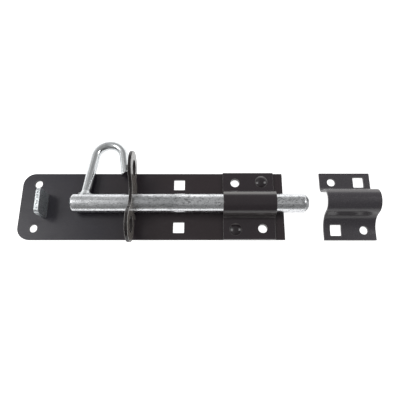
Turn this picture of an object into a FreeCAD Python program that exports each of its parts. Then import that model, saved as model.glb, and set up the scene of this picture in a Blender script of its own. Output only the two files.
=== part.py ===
"""Padlockable door bolt: a round bar that slides on a long back plate, with a bow
handle, a two-eyed padlock plate, a riveted keeper, a stop tab and a separate strike.

Millimetres. X runs along the bar towards the strike, Y across the plate and Z away
from the door. The origin is the middle of the back plate's underside.
"""
import FreeCAD, Part
import math
import os
from FreeCAD import Vector

# Back plate
plate_length = 255.4
plate_width = 66.6
sheet = 2.3
plate_corner_radius = 12.0
edge_round = 0.4

# Holes for the screws at the tail end, and for square-necked bolts at the middle
screw_hole_diameter = 7.8
screw_hole_from_end = 15.4
screw_hole_spacing = 44.6
square_hole_side = 10.6
square_hole_round = 0.6
square_holes_from_end = 154.1
square_hole_spacing = 43.0

# Sliding bar
bar_diameter = 18.0
bar_tail_from_end = 52.6
bar_tip_past_plate = 21.5
bar_tip_chamfer = 3.8
bar_tail_chamfer = 2.2
bar_edge_round = 1.6
running_gap = 0.3

# Bow handle, one bent rod whose long leg is fixed to the bar
rod_diameter = 9.0
handle_from_tail = 12.3
long_leg_lean = 7.2
bow_radius = 14.2
bow_centre_reach = 49.0
free_leg_splay = 10.0
free_leg_reach = 30.8
handle_foot_gap = 0.05
handle_floor_gap = 0.3
rod_end_round = 0.6
free_end_slant = 20.0
weld_flare = 1.0
weld_height = 3.0

# Keeper over the bar, with a bolt hole and a rivet in each flange
keeper_length = 49.6
keeper_from_end = 9.2
keeper_bend = 4.2
keeper_flare = 3.0
keeper_hole_diameter = 8.7
keeper_hole_offset_x = 12.8
keeper_hole_offset_y = 22.9
rivet_offset_x = 13.0
rivet_offset_y = 23.9
rivet_head_diameter = 12.0
rivet_head_height = 2.1
rivet_shank_diameter = 6.0
seat_gap = 0.02

# Strike, a separate channel for the bar's tip, with a wide soft bend on its front side
strike_length = 49.7
strike_width = 67.4
strike_from_plate = 36.9
strike_channel_radius = 9.4
strike_channel_height = 23.5
strike_channel_shift = 1.2
strike_rear_bend = 4.5
strike_front_bend = 14.5
strike_flare = 14.0
strike_hole_diameter = 8.0
strike_hole_offset_x = 13.4
strike_hole_offset_y = 24.2

# Padlock plate, a figure of eight that stands over the bar
lock_plate_thickness = 3.2
lock_plate_from_end = 109.2
lobe_radius = 16.5
lobe_offset = 27.2
lobe_height = 22.0
lobes_shift = 4.2
eye_diameter = 16.0
waist_height = 24.6
foot_half_width = 17.8
foot_fillet = 3.0
tenon_inset = 0.8
rim_round = 0.5

# Stop tab behind the bar's tail
tab_thickness = 3.9
tab_from_end = 22.8
tab_width = 24.0
tab_height = 21.2
tab_corner_radius = 3.5
tab_tenon_width = 12.0

# How close two places are when they count as the same
tolerance = 1e-5

# Places that follow from the sizes
tail_end = -plate_length / 2
strike_end = plate_length / 2
bar_radius = bar_diameter / 2
bar_axis_z = sheet + running_gap + bar_radius
bar_clearance_radius = bar_radius + running_gap
bar_tail_x = tail_end + bar_tail_from_end
bar_length = strike_end + bar_tip_past_plate - bar_tail_x
rod_radius = rod_diameter / 2
keeper_x = strike_end - keeper_from_end - keeper_length / 2
strike_x = strike_end + strike_from_plate + strike_length / 2
lock_plate_x = tail_end + lock_plate_from_end
tab_x = tail_end + tab_from_end


def line(a, b):
    return Part.LineSegment(a, b).toShape()


def arc(centre_y, centre_z, radius, start, end):
    """an arc in the plane across the bar, from one angle to another, in degrees from +Y to +Z"""
    angles = [math.radians(a) for a in (start, (start + end) / 2, end)]
    points = [Vector(0, centre_y + radius * math.cos(a), centre_z + radius * math.sin(a)) for a in angles]
    return Part.Arc(*points).toShape()


def closed_face(edges):
    """a face bounded by the edges in their order, with straight runs wherever two of them part"""
    outline = []
    for edge, following in zip(edges, edges[1:] + edges[:1]):
        outline.append(edge)
        here = edge.valueAt(edge.LastParameter)
        there = following.valueAt(following.FirstParameter)
        if (there - here).Length > tolerance:
            outline.append(line(here, there))
    return Part.Face(Part.Wire(outline))


def box(x0, x1, y0, y1, z0, z1):
    return Part.makeBox(x1 - x0, y1 - y0, z1 - z0, Vector(x0, y0, z0))


def upright_cylinder(x, y, radius, z0, z1):
    return Part.makeCylinder(radius, z1 - z0, Vector(x, y, z0))


def through_square(x, y, height):
    """the cutter for a square hole with slightly rounded corners, from below the sheet to above it"""
    half = square_hole_side / 2
    cutter = box(x - half, x + half, y - half, y + half, -sheet, height)
    corners = [edge for edge in cutter.Edges if abs(edge.tangentAt(edge.FirstParameter).z) > 0.9]
    return cutter.makeFillet(square_hole_round, corners)


def edges_where(solid, test):
    """the edges whose two ends and middle all pass the test"""
    found = []
    for edge in solid.Edges:
        first, last = edge.FirstParameter, edge.LastParameter
        if all(test(edge.valueAt(p)) for p in (first, (first + last) / 2, last)):
            found.append(edge)
    return found


def near(value, target):
    return abs(value - target) < tolerance


def bend_reach(outer, arch_z, flange_top, bend, flare):
    """how far the centre of a bend stands from the middle of the arch whose wall runs into it"""
    lean = math.radians(flare)
    drop = (arch_z + (outer + bend) * math.sin(lean) - flange_top - bend) / math.cos(lean)
    return (outer + bend) * math.cos(lean) + drop * math.sin(lean)


def channel_section(half_width, radius, arch_y, arch_z, flange_top, bends, flare):
    """the section of a bent strip: two flanges, a bend in each, walls that flare out and an arch"""
    rear_bend, front_bend = bends
    outer = radius + sheet
    rear_y = arch_y + bend_reach(outer, arch_z, flange_top, rear_bend, flare)
    front_y = arch_y - bend_reach(outer, arch_z, flange_top, front_bend, flare)
    flange_under = flange_top - sheet
    return closed_face([
        line(Vector(0, half_width, flange_under), Vector(0, half_width, flange_top)),
        arc(rear_y, flange_top + rear_bend, rear_bend, 270, 180 + flare),
        arc(arch_y, arch_z, outer, flare, 180 - flare),
        arc(front_y, flange_top + front_bend, front_bend, -flare, -90),
        line(Vector(0, -half_width, flange_top), Vector(0, -half_width, flange_under)),
        arc(front_y, flange_top + front_bend, front_bend + sheet, -90, -flare),
        arc(arch_y, arch_z, radius, 180 - flare, flare),
        arc(rear_y, flange_top + rear_bend, rear_bend + sheet, 180 + flare, 270),
    ])


def bent_strip(centre_x, length, flange_top, section):
    """the section drawn along the bar, with the edges of its upper side eased at both ends"""
    section.translate(Vector(centre_x - length / 2, 0, 0))
    strip = section.extrude(Vector(length, 0, 0))
    upper = flange_top - tolerance
    ends = edges_where(strip, lambda p: near(abs(p.x - centre_x), length / 2) and p.z > upper)
    return strip.makeFillet(edge_round, ends)


def make_back_plate():
    half = plate_width / 2
    plate = box(tail_end, strike_end, -half, half, 0, sheet)
    tail_corners = edges_where(plate, lambda p: near(p.x, tail_end) and near(abs(p.y), half))
    plate = plate.makeFillet(plate_corner_radius, tail_corners)
    rim = edges_where(plate, lambda p: near(p.z, sheet))
    plate = plate.makeFillet(edge_round, rim)
    for side in (-1, 1):
        screw_x = tail_end + screw_hole_from_end
        plate = plate.cut(upright_cylinder(screw_x, side * screw_hole_spacing / 2,
                                           screw_hole_diameter / 2, -sheet, 2 * sheet))
        square_x = tail_end + square_holes_from_end
        plate = plate.cut(through_square(square_x, side * square_hole_spacing / 2, 2 * sheet))
        plate = plate.cut(foot_tenon(side, seat_gap))
    for x, y in keeper_hole_places():
        plate = plate.cut(upright_cylinder(x, y, keeper_hole_diameter / 2, -sheet, 2 * sheet))
    for x, y in rivet_places():
        plate = plate.cut(upright_cylinder(x, y, rivet_shank_diameter / 2 + seat_gap, -sheet, 2 * sheet))
    return plate.cut(tab_tenon(seat_gap))


def keeper_hole_places():
    """one hole at the tail end of the rear flange, one at the strike end of the front flange"""
    return [(keeper_x - side * keeper_hole_offset_x, side * keeper_hole_offset_y) for side in (1, -1)]


def rivet_places():
    """one rivet at the strike end of the rear flange, one at the tail end of the front flange"""
    return [(keeper_x + side * rivet_offset_x, side * rivet_offset_y) for side in (1, -1)]


def make_keeper():
    section = channel_section(plate_width / 2, bar_clearance_radius, 0, bar_axis_z, 2 * sheet,
                              (keeper_bend, keeper_bend), keeper_flare)
    keeper = bent_strip(keeper_x, keeper_length, 2 * sheet, section)
    for x, y in keeper_hole_places():
        keeper = keeper.cut(upright_cylinder(x, y, keeper_hole_diameter / 2, 0, 3 * sheet))
    for x, y in rivet_places():
        keeper = keeper.cut(upright_cylinder(x, y, rivet_shank_diameter / 2 + seat_gap, 0, 3 * sheet))
    return keeper


def make_rivet(x, y):
    """a round head on the keeper, with its shank closed flush under the back plate"""
    seat_z = 2 * sheet + seat_gap
    head_radius = rivet_head_diameter / 2
    dome_radius = (head_radius ** 2 + rivet_head_height ** 2) / (2 * rivet_head_height)
    dome_z = seat_z + rivet_head_height - dome_radius
    dome = Part.makeSphere(dome_radius, Vector(x, y, dome_z))
    head = dome.common(upright_cylinder(x, y, head_radius, seat_z, seat_z + rivet_head_height))
    shank = upright_cylinder(x, y, rivet_shank_diameter / 2, 0, seat_z)
    return head.fuse(shank).removeSplitter()


def make_strike():
    arch_z = strike_channel_height - strike_channel_radius
    section = channel_section(strike_width / 2, strike_channel_radius, strike_channel_shift, arch_z,
                              sheet, (strike_rear_bend, strike_front_bend), strike_flare)
    strike = bent_strip(strike_x, strike_length, sheet, section)
    for side in (1, -1):
        y = side * strike_hole_offset_y
        hole = upright_cylinder(strike_x - side * strike_hole_offset_x, y,
                                strike_hole_diameter / 2, -sheet, 2 * sheet)
        square = through_square(strike_x + side * strike_hole_offset_x, y, 2 * sheet)
        strike = strike.cut(hole).cut(square)
    return strike


def make_bar():
    """a round bar with a bevelled tip and a smaller bevel at its tail"""
    tip = bar_length
    profile = [
        Vector(0, 0, 0),
        Vector(0, 0, bar_radius - bar_tail_chamfer),
        Vector(bar_tail_chamfer, 0, bar_radius),
        Vector(tip - bar_tip_chamfer, 0, bar_radius),
        Vector(tip, 0, bar_radius - bar_tip_chamfer),
        Vector(tip, 0, 0),
    ]
    face = Part.Face(Part.makePolygon(profile + profile[:1]))
    bar = face.revolve(Vector(0, 0, 0), Vector(1, 0, 0), 360)
    bar.translate(Vector(bar_tail_x, 0, bar_axis_z))
    bevels = [edge for edge in bar.Edges
              if isinstance(edge.Curve, Part.Circle) and edge.Closed]
    return bar.makeFillet(bar_edge_round, bevels)


def bow_rest_angle():
    """how far the bow hangs below level, in degrees, with its top just clear of the door"""
    drop = bar_axis_z - rod_radius - handle_floor_gap
    return math.degrees(math.asin(drop / (bow_centre_reach + bow_radius)))


def slanted_waste(end, slant):
    """what is sheared off the rod at its free end, along a line that rises away from the bow"""
    waste = box(-bow_radius, bow_radius, -bow_radius, 0, -bow_radius, bow_radius)
    waste.rotate(Vector(0, 0, 0), Vector(0, 0, 1), slant)
    waste.translate(end)
    return waste


def make_bow():
    """a rod swept along a long leg, a half turn and a short free leg, drawn level and then lowered"""
    lean = math.radians(long_leg_lean)
    splay = math.radians(free_leg_splay)
    foot_x = bar_tail_x + handle_from_tail
    leg_length = (bow_centre_reach - bar_radius + bow_radius * math.sin(lean)) / math.cos(lean)
    centre_x = foot_x + leg_length * math.sin(lean) + bow_radius * math.cos(lean)

    def around(angle):
        return Vector(centre_x + bow_radius * math.cos(angle),
                      bow_centre_reach + bow_radius * math.sin(angle), bar_axis_z)

    along_leg = Vector(math.sin(lean), math.cos(lean), 0)
    start = Vector(foot_x - bar_radius * math.tan(lean), 0, bar_axis_z)
    bend_start = around(math.pi - lean)
    bend_end = around(splay)
    free_length = (bend_end.y - free_leg_reach) / math.cos(splay)
    outward = Vector(math.sin(splay), -math.cos(splay), 0)
    end = bend_end + outward * free_length
    route = Part.Wire([line(start, bend_start),
                       Part.Arc(bend_start, around((math.pi - lean + splay) / 2), bend_end).toShape(),
                       line(bend_end, end + outward * rod_diameter)])
    ring = Part.Wire(Part.makeCircle(rod_radius, start, along_leg))
    rod = route.makePipeShell([ring], True, False)
    rod = rod.cut(slanted_waste(end, free_leg_splay + free_end_slant))
    free_end = edges_where(rod, lambda p: p.y < free_leg_reach + rod_diameter and p.x > centre_x)
    rod = rod.makeFillet(rod_end_round, [edge for edge in free_end if edge.Closed])
    weld_length = bar_radius / 2 + weld_height
    weld = Part.makeCone(rod_radius + weld_flare * weld_length / weld_height, rod_radius, weld_length,
                         start + along_leg * bar_radius / 2, along_leg)
    seat = Part.makeCylinder(bar_radius + handle_foot_gap, bar_length,
                             Vector(bar_tail_x, 0, bar_axis_z), Vector(1, 0, 0))
    rod = rod.fuse(weld).cut(seat).removeSplitter()
    rod.rotate(Vector(0, 0, bar_axis_z), Vector(1, 0, 0), -bow_rest_angle())
    return rod


def foot_edge(side):
    """where the padlock plate's foot ends, on the rear side (1) or the front side (-1)"""
    return lobes_shift + side * foot_half_width


def foot_tenon(side, gap):
    """one tenon of the padlock plate, or with a gap the slot that it fills"""
    inset = side * (tenon_inset - gap)
    y0, y1 = sorted([side * bar_clearance_radius + inset, foot_edge(side) - inset])
    return box(lock_plate_x - gap, lock_plate_x + lock_plate_thickness + gap, y0, y1, 0, sheet)


def make_lock_plate():
    """two round lobes joined over the bar by a waist, on two legs that straddle the bar"""
    rise = waist_height - lobe_height
    waist_radius = (lobe_offset ** 2 + rise ** 2 - lobe_radius ** 2) / (2 * (lobe_radius - rise))
    waist_z = waist_height + waist_radius
    waist_angle = math.degrees(math.atan2(waist_z - lobe_height, -lobe_offset))

    fillet_offset = foot_half_width + foot_fillet
    reach = lobe_radius + foot_fillet
    fillet_z = lobe_height - math.sqrt(reach ** 2 - (lobe_offset - fillet_offset) ** 2)
    fillet_angle = math.degrees(math.atan2(lobe_height - fillet_z, lobe_offset - fillet_offset))

    outline = closed_face([
        line(Vector(0, foot_edge(-1), sheet), Vector(0, foot_edge(1), sheet)),
        arc(lobes_shift + fillet_offset, fillet_z, foot_fillet, 180, fillet_angle),
        arc(lobes_shift + lobe_offset, lobe_height, lobe_radius, fillet_angle - 180, waist_angle),
        arc(lobes_shift, waist_z, waist_radius, waist_angle - 180, -waist_angle),
        arc(lobes_shift - lobe_offset, lobe_height, lobe_radius, 180 - waist_angle, 360 - fillet_angle),
        arc(lobes_shift - fillet_offset, fillet_z, foot_fillet, 180 - fillet_angle, 0),
    ])
    outline.translate(Vector(lock_plate_x, 0, 0))
    plate = outline.extrude(Vector(lock_plate_thickness, 0, 0))
    faces_x = (lock_plate_x, lock_plate_x + lock_plate_thickness)
    rim = edges_where(plate, lambda p: p.z > sheet + tolerance and any(near(p.x, x) for x in faces_x))
    plate = plate.makeFillet(rim_round, rim)
    plate = plate.cut(bar_passage())
    for side in (-1, 1):
        eye_y = lobes_shift + side * lobe_offset
        eye = Part.makeCylinder(eye_diameter / 2, 3 * lock_plate_thickness,
                                Vector(lock_plate_x - lock_plate_thickness, eye_y, lobe_height),
                                Vector(1, 0, 0))
        plate = plate.cut(eye).fuse(foot_tenon(side, 0))
    return plate.removeSplitter()


def bar_passage():
    """the round-topped opening that the bar slides through, from below the foot"""
    x0 = lock_plate_x - lock_plate_thickness
    x1 = lock_plate_x + 2 * lock_plate_thickness
    top = Part.makeCylinder(bar_clearance_radius, x1 - x0, Vector(x0, 0, bar_axis_z), Vector(1, 0, 0))
    return top.fuse(box(x0, x1, -bar_clearance_radius, bar_clearance_radius, 0, bar_axis_z))


def tab_tenon(gap):
    """the tenon of the stop tab, or with a gap the slot that it fills"""
    half = tab_tenon_width / 2 + gap
    return box(tab_x - gap, tab_x + tab_thickness + gap, -half, half, 0, sheet)


def make_stop_tab():
    half = tab_width / 2
    top = sheet + tab_height
    tab = box(tab_x, tab_x + tab_thickness, -half, half, sheet, top)
    corners = edges_where(tab, lambda p: near(p.z, top) and near(abs(p.y), half))
    tab = tab.makeFillet(tab_corner_radius, corners)
    return tab.fuse(tab_tenon(0)).removeSplitter()


os.makedirs("parts", exist_ok=True)
rear_rivet, front_rivet = rivet_places()
pieces = {
    "back_plate": make_back_plate(),
    "guide_keeper": make_keeper(),
    "keeper_rivet_rear": make_rivet(*rear_rivet),
    "keeper_rivet_front": make_rivet(*front_rivet),
    "padlock_plate": make_lock_plate(),
    "stop_tab": make_stop_tab(),
    "bolt_bar": make_bar(),
    "bow_handle": make_bow(),
    "strike_plate": make_strike(),
}
for name, solid in pieces.items():
    solid.exportStep("parts/" + name + ".step")
    bounds = solid.BoundBox
    print(name, solid.ShapeType, len(solid.Solids), "solid, valid", solid.isValid(),
          "volume %.1f" % solid.Volume,
          "x %.2f %.2f y %.2f %.2f z %.2f %.2f" % (bounds.XMin, bounds.XMax, bounds.YMin,
                                                   bounds.YMax, bounds.ZMin, bounds.ZMax))
print("bow rest angle %.2f degrees" % bow_rest_angle())
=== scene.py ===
# %% [markdown]
# A padlockable door bolt, dressed for a studio picture.
#
# The construction comes in as a fixed frame: every piece is already at its real size and
# place, in metres, with X along the bar, Y across the plate and Z away from the door. This
# file gives the pieces their finishes, adds the weld bead, which is too small and lumpy for
# the construction, and sets the floor, the lights and the camera.

# %% Load the frame
import bpy
import math
import mathutils
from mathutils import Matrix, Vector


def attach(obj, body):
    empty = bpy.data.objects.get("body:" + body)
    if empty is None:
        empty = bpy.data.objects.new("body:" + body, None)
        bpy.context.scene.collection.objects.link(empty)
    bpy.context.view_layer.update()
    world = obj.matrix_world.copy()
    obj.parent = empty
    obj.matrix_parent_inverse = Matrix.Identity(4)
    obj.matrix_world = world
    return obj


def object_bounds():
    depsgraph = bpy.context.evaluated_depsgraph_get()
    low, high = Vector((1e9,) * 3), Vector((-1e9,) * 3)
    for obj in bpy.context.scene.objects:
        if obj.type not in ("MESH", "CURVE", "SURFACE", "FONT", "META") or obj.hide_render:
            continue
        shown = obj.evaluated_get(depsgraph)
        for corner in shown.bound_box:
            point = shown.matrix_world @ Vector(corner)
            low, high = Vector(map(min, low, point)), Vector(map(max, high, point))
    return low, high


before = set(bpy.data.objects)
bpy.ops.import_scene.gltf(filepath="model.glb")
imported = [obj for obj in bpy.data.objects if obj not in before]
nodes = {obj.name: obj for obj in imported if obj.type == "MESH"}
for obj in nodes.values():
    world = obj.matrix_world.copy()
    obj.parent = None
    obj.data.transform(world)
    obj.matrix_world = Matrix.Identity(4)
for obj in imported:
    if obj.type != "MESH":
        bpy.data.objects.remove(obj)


def plain(box):
    """a box of two corners as plain lists of numbers"""
    return [[float(value) for value in corner] for corner in box]


frame_box = plain(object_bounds())
print("the frame's pieces:", ", ".join(sorted(nodes)))
print("the frame's box in metres:", frame_box)

# %% [markdown]
# The camera stands where the photographer stood: above the plate, a little in front of it,
# and far enough right to see the padlock plate's right side. A camera looks down its own -Z
# axis, so turning it about X by 17.28 degrees from straight down gives a view from about 73
# degrees above the floor. The picture was cropped a little off its middle, and the small
# shift repeats that.

# %% Place the camera
camera_place = (0.0547, -0.1107, 0.3776)
camera_tilt = math.radians(17.28)
focal_length_px = 403.4
image_width_px = 400
sensor_width = 36.0
crop_offset_px = 8.2

camera_data = bpy.data.cameras.new("studio_camera")
camera_data.sensor_width = sensor_width
camera_data.lens = focal_length_px / image_width_px * sensor_width
camera_data.shift_x = -crop_offset_px / image_width_px
camera_data.clip_start = 0.01
camera = bpy.data.objects.new("studio_camera", camera_data)
camera.location = camera_place
camera.rotation_euler = (camera_tilt, 0, 0)
bpy.context.scene.collection.objects.link(camera)
bpy.context.scene.camera = camera
print("lens %.1f mm, shift %.4f" % (camera_data.lens, camera_data.shift_x))

# %% [markdown]
# A finish is a small network of nodes. Written out link by link it is hard to read, so a
# class wraps a socket and lets sums be written as sums: `grain * 0.4 + 0.3` adds two Math
# nodes. Every other node comes from one method, which takes the node's type, its settings
# and what goes into its sockets, and hands back the output as the next thing to work with.

# %% Write node networks as sums
class Wire:
    """an output socket of a node tree, on which sums can be written"""

    def __init__(self, tree, socket):
        self.tree = tree
        self.socket = socket

    def math(self, operation, first, second):
        return self.tree.node("ShaderNodeMath", {"operation": operation}, {0: first, 1: second})

    def __add__(self, other):
        return self.math("ADD", self, other)

    def __radd__(self, other):
        return self.math("ADD", other, self)

    def __sub__(self, other):
        return self.math("SUBTRACT", self, other)

    def __rsub__(self, other):
        return self.math("SUBTRACT", other, self)

    def __mul__(self, other):
        return self.math("MULTIPLY", self, other)

    def __rmul__(self, other):
        return self.math("MULTIPLY", other, self)

    def magnitude(self):
        """the value without its sign"""
        return self.tree.node("ShaderNodeMath", {"operation": "ABSOLUTE"}, {0: self})

    def between(self, low, high):
        """0 below low, 1 above high and a smooth step from one to the other"""
        return self.tree.node("ShaderNodeMapRange", {"interpolation_type": "SMOOTHSTEP"},
                              {"Value": self, "From Min": low, "From Max": high})


class Network:
    """the node tree of a material or of the world"""

    def __init__(self, owner):
        owner.use_nodes = True
        self.nodes = owner.node_tree.nodes
        self.links = owner.node_tree.links
        self.nodes.clear()

    def node(self, kind, settings=None, inputs=None, output=0):
        """add a node, set it up, fill its sockets with values or wires and return an output"""
        made = self.nodes.new(kind)
        for name, value in (settings or {}).items():
            setattr(made, name, value)
        for name, value in (inputs or {}).items():
            if isinstance(value, Wire):
                self.links.new(value.socket, made.inputs[name])
            else:
                made.inputs[name].default_value = value
        return Wire(self, made.outputs[output]) if made.outputs else made

    def mix(self, factor, first, second):
        """a colour between two colours"""
        return self.node("ShaderNodeMix", {"data_type": "RGBA"},
                         {"Factor": factor, 6: self.colour(first), 7: self.colour(second)}, 2)

    def colour(self, value):
        return value if isinstance(value, Wire) else (*value, 1)

    def finish(self, surface):
        self.node("ShaderNodeOutputMaterial", None, {"Surface": surface})


print("helpers ready")

# %% [markdown]
# Grain, speckle and stains are all noise at different sizes. Blender's noise takes a scale in
# cells per metre here, because the pieces are in metres, so a helper asks for the size of one
# blotch in millimetres instead. Stretching the coordinates along the bar turns blotches into
# the fine lines that drawing a bar through a die leaves.
#
# Two more helpers find places on the shape. `edge_mask` finds outer edges, where a coating wears
# first and where a rounded edge catches the light; the coatings paint one pale line there that is
# partly wearing and partly painted highlight. `facing` tells which way a surface looks in its
# piece's own directions, so that a top, a wall and an end can differ, and the finish stays in
# place when the piece moves.

# %% Make noise of a real size
def place_on(network):
    """where a point is on its piece, in metres"""
    return network.node("ShaderNodeTexCoord", None, None, "Object")


def place_along(network, axis):
    """how far a point lies along X, Y or Z, in metres"""
    return network.node("ShaderNodeSeparateXYZ", None, {0: place_on(network)}, axis)


def blotches(network, size_mm, detail=3.0, stretch=(1, 1, 1), roughness=0.5):
    """noise from 0 to 1 whose blotches have a size in millimetres"""
    place = place_on(network)
    if stretch != (1, 1, 1):
        place = network.node("ShaderNodeVectorMath", {"operation": "MULTIPLY"},
                             {0: place, 1: [1 / factor for factor in stretch]})
    return network.node("ShaderNodeTexNoise", None,
                        {"Vector": place, "Scale": 1000 / size_mm, "Detail": detail,
                         "Roughness": roughness}, "Fac")


def edge_mask(network, radius_mm):
    """1 on sharp outer edges and 0 on flat faces, from how far a rounded normal leans"""
    rounded = network.node("ShaderNodeBevel", {"samples": 6}, {"Radius": radius_mm / 1000})
    true_normal = network.node("ShaderNodeNewGeometry", None, None, "Normal")
    lean = network.node("ShaderNodeVectorMath", {"operation": "DOT_PRODUCT"},
                        {0: rounded, 1: true_normal}, "Value")
    return (1 - lean).between(0.005, 0.12)


def facing(network, axis):
    """how far a surface faces along X, Y or Z, from -1 to 1"""
    normal = network.node("ShaderNodeTexCoord", None, None, "Normal")
    return network.node("ShaderNodeSeparateXYZ", None, {0: normal}, axis)


print("noise and place helpers ready")

# %% [markdown]
# The sheet parts are steel with a black baked coating. It isn't a flat black: the coating has
# a fine grain like orange peel, it is a little greyer on the edges, partly where it wears thin
# and partly as painted highlights where rounded edges catch the light, and broad faint stains
# make it blue-black in one place and brown-black in another. A Principled shader with a dark
# base and a fairly low roughness gives the soft sheen, and a Bump gives the grain.
# The plate is one long piece whose tone drifts from the tail to the keeper, so the mix of its
# two tones also depends on the place along X.
#
# One function makes all five coatings, because they differ only in how far each effect goes.
# Several of the effects are painted light. The upright walls of the keeper and the strike are
# painted paler, as painted light. The bend at their rear and the rear of each rivet's dome get
# a painted highlight. Rounded edges of faces that look left or right get painted highlights,
# which draw two light lines round the padlock plate's rim, and that plate's right face gets a
# painted sheen of lighter brown-grey.

# %% Black coating
tone_drifts = (-0.115, 0.06)


def black_coating(name, cool, warm, gloss=0.34, edge_and_highlight_colour=(0.20, 0.19, 0.185), mottle=0.8,
                  side_edge_highlight=0.5, painted_wall_light=0.0, painted_bend_highlight=0.0, painted_right_sheen=None):
    """the coated sheet: a cool tone and a warm one, pale edges that are partly wearing and partly painted
    highlight, painted light on walls, bends and the right face, and a fine grain
    """
    material = bpy.data.materials.new(name)
    network = Network(material)
    stains = blotches(network, 42, detail=4)
    grain = blotches(network, 1.1, detail=4, roughness=0.6)
    fine_grain = blotches(network, 0.22, detail=2)
    rub = blotches(network, 6, detail=5, stretch=(3, 1, 1))

    drift = place_along(network, "X").between(*tone_drifts) + (stains - 0.5) * 1.2
    tone = network.mix(drift.between(0, 1), cool, warm)
    pale = network.mix(0.5, tone, edge_and_highlight_colour)
    mottling = (grain.between(0.42, 0.75) * mottle + rub.between(0.5, 0.8) * 0.25) * 0.12
    colour = network.mix(mottling, tone, pale)

    rearward = facing(network, "Y")
    # painted light: walls that face front or rear are painted paler
    walls = rearward.magnitude().between(0.7, 0.95)
    colour = network.mix(walls * painted_wall_light, colour, pale)
    # painted highlight along the bend at the rear, on the keeper, the strike and the rivets' domes
    rear_bend = rearward.between(0.42, 0.56) * (1 - rearward.between(0.72, 0.84))
    colour = network.mix(rear_bend * painted_bend_highlight, colour, edge_and_highlight_colour)
    # painted sheen: faces that look right get a lighter brown-grey
    if painted_right_sheen is not None:
        colour = network.mix(facing(network, "X").between(0.85, 0.98), colour, painted_right_sheen)

    # pale edges: partly wearing on outer edges, partly painted highlights on rounded edges that look left
    # or right
    endwise = facing(network, "X").magnitude()
    rounded_edge = endwise.between(0.5, 0.72) * (1 - endwise.between(0.9, 0.98))
    wear_and_highlight = edge_mask(network, radius_mm=0.7) * 0.5 + rounded_edge * side_edge_highlight
    colour = network.mix((wear_and_highlight * rub.between(0.1, 0.5)).between(0, 1), colour, edge_and_highlight_colour)
    roughness = gloss + (grain - 0.5) * 0.16 + rub.between(0.45, 0.8) * 0.08
    bump = network.node("ShaderNodeBump", None,
                        {"Strength": 0.35, "Distance": 0.00012, "Height": grain * 0.7 + fine_grain * 0.3})
    shader = network.node("ShaderNodeBsdfPrincipled", None,
                          {"Base Color": colour, "Roughness": roughness, "Normal": bump,
                           "Specular IOR Level": 0.5})
    network.finish(shader)
    return material


plate_coat = black_coating("plate_coat", (0.013, 0.0105, 0.020), (0.026, 0.017, 0.020))
# the padlock plate's pale rim lines are painted highlights, and its lighter right face is a painted sheen
eye_coat = black_coating("eye_coat", (0.012, 0.009, 0.009), (0.014, 0.010, 0.009), gloss=0.12,
                         edge_and_highlight_colour=(0.55, 0.54, 0.53), mottle=0.5, side_edge_highlight=1.4,
                         painted_right_sheen=(0.19, 0.173, 0.158))
# the keeper's paler walls and light rear bend are painted light
keeper_coat = black_coating("keeper_coat", (0.030, 0.024, 0.034), (0.030, 0.023, 0.027), gloss=0.14,
                            side_edge_highlight=1.0, painted_wall_light=0.8, painted_bend_highlight=0.72)
# the light arc at the rear of each rivet's dome is a painted highlight
rivet_coat = black_coating("rivet_coat", (0.022, 0.018, 0.021), (0.022, 0.017, 0.020), gloss=0.11,
                           mottle=0.3, side_edge_highlight=0.0, painted_bend_highlight=0.7)
# the strike's paler walls and light rear bend are painted light
strike_coat = black_coating("strike_coat", (0.054, 0.051, 0.062), (0.056, 0.051, 0.059), gloss=0.23,
                            mottle=2.4, painted_wall_light=0.4, painted_bend_highlight=0.3)
print("coatings:", plate_coat.name, eye_coat.name, keeper_coat.name, rivet_coat.name,
      strike_coat.name)

# %% [markdown]
# The bar, the bow handle, its weld and the stop tab are bright zinc plated. Zinc plate is
# metal, so its colour is the colour of what it reflects, and what makes it look real is how
# uneven it is: small crystals and pits that scatter a little more or less light. Speckle,
# faint lines along the drawn rod and broad clouds add up to one dullness, which drives the
# colour and the roughness together. Dark flecks show where the plating has picked up dirt.
#
# One function makes the four finishes. The bar has the most to show: grey spots on its upper
# side (`spotting`), a painted reflection of the padlock plate on its top, darker from the
# padlock plate to the square holes, with a painted sheen, brighter, beyond them (it also
# raises the roughness there), cleaner sides and a duller tip. Its lines grow stronger towards
# the tip. The bow is smoother (`unevenness`). The stop tab was sawn off, so dark pits run along
# the middle of its top. A weld isn't polished, so the bead's plating has the same mottling but
# scatters more light. Each pair of numbers below says from where to where along X, in metres,
# an effect grows or fades.

# %% Bright zinc plate
lines_grow = (-0.03, 0.12)
spots_grow = (-0.03, 0.0)
# where along X the painted reflection of the padlock plate on the bar grows and fades
plate_reflection_grows = (-0.03, -0.008)
plate_reflection_fades = (0.018, 0.04)
spot_grey = (0.23, 0.235, 0.24)
fleck_grey = (0.16, 0.165, 0.17)
pit_grey = (0.08, 0.082, 0.09)


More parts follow.
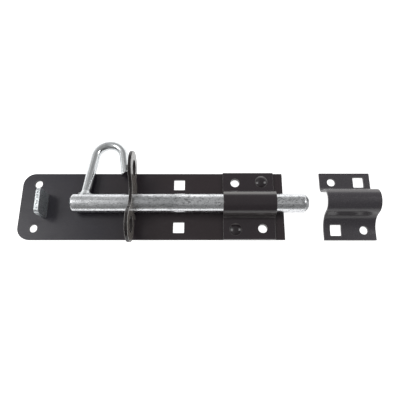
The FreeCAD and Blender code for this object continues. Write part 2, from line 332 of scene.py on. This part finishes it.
def zinc_plate(name, bright, dull, drawn=(6, 1, 1), streaks=0.5, gloss=0.19, unevenness=1.0,
               painted_plate_reflection=0.0, spotting=0.0, clean_sides=0.0, dull_tip=0.0, sawn_top_at=None):
    """mottled bright metal with lines along the rod"""
    material = bpy.data.materials.new(name)
    network = Network(material)
    speckle = blotches(network, 0.9, detail=5, roughness=0.7, stretch=(1.6, 1, 1))
    crystals = blotches(network, 0.3, detail=2)
    clouds = blotches(network, 11, detail=3)
    lines = blotches(network, 0.8, detail=4, stretch=drawn, roughness=0.6)
    along = place_along(network, "X")
    upward_part = facing(network, "Z").between(0.6, 0.95)

    lined = 0.35 + along.between(*lines_grow) * 0.9
    dullness_and_painted_light = (speckle.between(0.38, 0.62) * 0.75 + lines.between(0.42, 0.6) * lined * streaks
                + (clouds - 0.5) * 1.2)
    dullness_and_painted_light = dullness_and_painted_light * unevenness * (1 - (1 - upward_part) * clean_sides)
    # painted reflection of the dark padlock plate on the bar's top: darker from the plate to the square
    # holes, and a painted sheen, brighter, beyond them
    zone = along.between(*plate_reflection_grows) * (1 - along.between(*plate_reflection_fades) * 1.6)
    dullness_and_painted_light = dullness_and_painted_light + zone * upward_part * painted_plate_reflection
    dullness_and_painted_light = dullness_and_painted_light + facing(network, "X").between(0.3, 0.6) * dull_tip
    colour = network.mix(dullness_and_painted_light.between(-0.1, 1.15), bright, dull)

    spots = blotches(network, 1.6, detail=4, stretch=(2.0, 1, 1), roughness=0.7).between(0.52, 0.61)
    spots = spots * (0.5 + along.between(*spots_grow) * 0.5)
    colour = network.mix(spots * upward_part * spotting, colour, spot_grey)
    flecks = (speckle + lines).between(1.12, 1.24)
    colour = network.mix(flecks * unevenness * 0.7, colour, fleck_grey)
    if sawn_top_at is not None:
        middle = 1 - (along - sawn_top_at).magnitude().between(0.0005, 0.0012)
        top = facing(network, "Z").between(0.7, 0.9)
        pits = blotches(network, 1.2, detail=2).between(0.46, 0.55) * top
        colour = network.mix(middle * pits * 0.75, colour, pit_grey)

    roughness = gloss + dullness_and_painted_light * 0.17 + (crystals - 0.5) * 0.12
    bump = network.node("ShaderNodeBump", None,
                        {"Strength": 0.4 * unevenness * (1 - 0.5 * clean_sides), "Distance": 0.0001,
                         "Height": speckle * 0.5 + crystals * 0.25 + lines * 0.35})
    shader = network.node("ShaderNodeBsdfPrincipled", None,
                          {"Base Color": colour, "Roughness": roughness, "Normal": bump,
                           "Metallic": 1.0})
    network.finish(shader)
    return material


bar_zinc = zinc_plate("bar_zinc", (0.91, 0.92, 0.94), (0.44, 0.45, 0.46), drawn=(11, 1, 1), streaks=0.4,
                      painted_plate_reflection=0.6, spotting=0.85, clean_sides=0.35, dull_tip=0.9)
bow_zinc = zinc_plate("bow_zinc", (0.78, 0.80, 0.81), (0.46, 0.47, 0.48), drawn=(1, 5, 1), streaks=0.3,
                      gloss=0.12, unevenness=0.55)
weld_zinc = zinc_plate("weld_zinc", (0.66, 0.68, 0.69), (0.40, 0.41, 0.42), gloss=0.32)
tab_zinc = zinc_plate("tab_zinc", (0.86, 0.89, 0.90), (0.45, 0.49, 0.51), drawn=(1, 1, 5), gloss=0.4,
                      sawn_top_at=-0.10295)
print("zinc finishes:", bar_zinc.name, bow_zinc.name, weld_zinc.name, tab_zinc.name)

# %% [markdown]
# Each piece now gets its finish. The pieces came in with plain materials, which are cleared
# first. Looking the pieces up by name keeps the list short: only the materials change, and
# the shapes stay as the construction made them.

# %% Put the finishes on the pieces
finishes = {
    "back_plate": plate_coat,
    "guide_keeper": keeper_coat,
    "keeper_rivet_rear": rivet_coat,
    "keeper_rivet_front": rivet_coat,
    "padlock_plate": eye_coat,
    "strike_plate": strike_coat,
    "bolt_bar": bar_zinc,
    "bow_handle": bow_zinc,
    "stop_tab": tab_zinc,
}
for name, material in finishes.items():
    nodes[name].data.materials.clear()
    nodes[name].data.materials.append(material)
print(len(finishes), "pieces have a finish")

# %% [markdown]
# The bow handle is welded to the bar, and a weld leaves a lumpy bead round the foot of the
# rod. The bead runs where the foot meets the round bar, which is a saddle-shaped ring: each
# point of a circle round the rod is moved along the rod until it lies on the bar. Working the
# ring out from the bar's radius and the rod's own angles makes the bead fit without trying.

# %% Find the ring where the foot meets the bar
bar_axis_z = 0.0116
bar_radius = 0.009
foot_x = -0.06394
rod_lean = math.radians(7.2)
bow_drop = math.radians(6.18)
bead_reach = 0.0052

along_rod = mathutils.Vector((math.sin(rod_lean), math.cos(rod_lean), 0))
beside_rod = mathutils.Vector((math.cos(rod_lean), -math.sin(rod_lean), 0))
upward = mathutils.Vector((0, 0, 1))
lowered = mathutils.Matrix.Rotation(-bow_drop, 3, "X")


def seam_point(angle):
    """a point of the seam, for an angle round the rod"""
    offset = bead_reach * (math.cos(angle) * beside_rod + math.sin(angle) * upward)
    depth = math.sqrt(bar_radius ** 2 - offset.z ** 2) - offset.y
    level = mathutils.Vector((foot_x, 0, 0)) + offset + along_rod * depth / along_rod.y
    return lowered @ level + mathutils.Vector((0, 0, bar_axis_z))


print("the seam's top is at", [round(value, 4) for value in seam_point(math.pi / 2)])

# %% [markdown]
# The bead itself is a tube along that ring. Its radius rises and falls as the welder's
# ripples do: 17 fine ones, 5 broad ones and some noise for the lumps. The lower half of the
# tube lies inside the bar, as a real weld runs into the metal, so there is no gap. The
# plating went on after welding, so the bead is zinc too.

# %% Draw the weld bead
def weld_bead(name, steps=96, sides=12, radius=0.00105):
    """a closed lumpy tube along the seam"""
    nudge = 0.02
    verts = []
    for step in range(steps):
        angle = 2 * math.pi * step / steps
        here = seam_point(angle)
        ahead = (seam_point(angle + nudge) - seam_point(angle - nudge)).normalized()
        outward = (here - mathutils.Vector((here.x, 0, bar_axis_z))).normalized()
        across = ahead.cross(outward).normalized()
        ripple = 1 + 0.13 * math.sin(17 * angle) + 0.16 * math.sin(5 * angle + 1.0)
        for side in range(sides):
            turn = 2 * math.pi * side / sides
            round_tube = mathutils.Vector((math.cos(turn), math.sin(turn), 0))
            lump = 0.12 * mathutils.noise.noise(here * 900 + round_tube)
            reach = radius * (ripple + lump)
            verts.append(here + reach * (math.cos(turn) * across + math.sin(turn) * outward))
    faces = []
    for step in range(steps):
        following = (step + 1) % steps
        for side in range(sides):
            beside = (side + 1) % sides
            faces.append((step * sides + side, following * sides + side,
                          following * sides + beside, step * sides + beside))
    mesh = bpy.data.meshes.new(name)
    mesh.from_pydata(verts, [], faces)
    mesh.shade_smooth()
    bead = bpy.data.objects.new(name, mesh)
    bpy.context.scene.collection.objects.link(bead)
    return bead


bead = weld_bead("handle_weld")
bead.data.materials.append(weld_zinc)
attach(bead, "handle")
print("weld bead:", len(bead.data.vertices), "points")

# %% [markdown]
# The bolt lies on a white table. The table is a plain diffuse white, and for the camera and
# for reflections some white of its own is added, so that it comes out clean white and a
# little of the object's soft shadow stays on it. It lies a hair below the plate, so that the
# two flat faces don't flicker where they would touch.

# %% Lay the floor
def add_floor(size, level):
    """a white table, as a flat square sheet of mesh"""
    half = size / 2
    mesh = bpy.data.meshes.new("studio_floor")
    corners = [(-half, -half, level), (half, -half, level), (half, half, level), (-half, half, level)]
    mesh.from_pydata(corners, [], [(0, 1, 2, 3)])
    floor = bpy.data.objects.new("studio_floor", mesh)
    bpy.context.scene.collection.objects.link(floor)
    return floor


def paper_white(own_white, mirrored_white):
    """a diffuse white that also gives white of its own, to the camera and to reflections"""
    material = bpy.data.materials.new("paper_white")
    network = Network(material)
    seen = network.node("ShaderNodeLightPath", None, None, "Is Camera Ray")
    mirrored = (network.node("ShaderNodeLightPath", None, None, "Is Glossy Ray")
                + network.node("ShaderNodeLightPath", None, None, "Is Transmission Ray"))
    paper = network.node("ShaderNodeBsdfDiffuse", None, {"Color": (0.9, 0.9, 0.9, 1)})
    glow = network.node("ShaderNodeEmission", None,
                        {"Color": (1, 1, 1, 1), "Strength": seen * own_white + mirrored * mirrored_white})
    both = network.node("ShaderNodeAddShader", None, {0: paper, 1: glow})
    network.finish(both)
    return material


floor_gap = 0.0002
floor_level = frame_box[0][2] - floor_gap
floor = add_floor(size=6.0, level=floor_level)
floor.data.materials.append(paper_white(own_white=0.9, mirrored_white=0.55))
print("floor at %.4f m" % floor_level)

# %% [markdown]
# The light is that of a white tent: a bright rear wall, a dimmer roof, and a dim front side,
# where the camera stands in the opening. Round metal shows it as one bright band along its
# rear side and grey on top and in front. The world paints it as two ramps by height, one
# behind and one in front, brighter to the left, and is plain white where the camera looks
# straight at it. Two large soft lamps, the stronger one from the left and the other from the
# right, give the picture its direction and its soft shadows.

# %% Light the tent
def tent_world(roof, rear_wall, front_wall, left_glow):
    """a world whose brightness depends on the direction, as inside a tent"""
    world = bpy.data.worlds.new("tent")
    bpy.context.scene.world = world
    network = Network(world)
    direction = network.node("ShaderNodeTexCoord", None, None, "Generated")
    sideways = network.node("ShaderNodeSeparateXYZ", None, {0: direction}, "X")
    rearward = network.node("ShaderNodeSeparateXYZ", None, {0: direction}, "Y").between(-0.25, 0.3)
    height = network.node("ShaderNodeSeparateXYZ", None, {0: direction}, "Z")
    rear = rear_wall + height.between(-0.1, 0.62) * (roof - rear_wall)
    front = front_wall + height.between(0.76, 0.92) * (roof - front_wall)
    left = (0 - sideways).between(0.08, 0.4) * height.between(0.3, 0.8) * left_glow
    tent = front + rearward * (rear - front) + left
    seen = network.node("ShaderNodeLightPath", None, None, "Is Camera Ray")
    strength = tent * (1 - seen) + seen
    background = network.node("ShaderNodeBackground", None, {"Color": (1, 1, 1, 1), "Strength": strength})
    network.node("ShaderNodeOutputWorld", None, {"Surface": background})


def soft_lamp(name, place, target, size, watts):
    """a square lamp that faces a point"""
    data = bpy.data.lights.new(name, "AREA")
    data.size = size
    data.energy = watts
    lamp = bpy.data.objects.new(name, data)
    lamp.location = place
    direction = mathutils.Vector(target) - mathutils.Vector(place)
    lamp.rotation_euler = direction.to_track_quat("-Z", "Y").to_euler()
    bpy.context.scene.collection.objects.link(lamp)


tent_world(roof=0.36, rear_wall=1.65, front_wall=0.22, left_glow=0.3)
soft_lamp("left_lamp", place=(-0.64, 0.08, 0.76), target=(0, 0, 0), size=0.45, watts=2.3)
soft_lamp("right_lamp", place=(0.82, 0.13, 0.67), target=(0.1, 0, 0), size=0.4, watts=2.0)
bpy.context.scene.view_settings.view_transform = "Standard"
print("tent and two lamps ready")
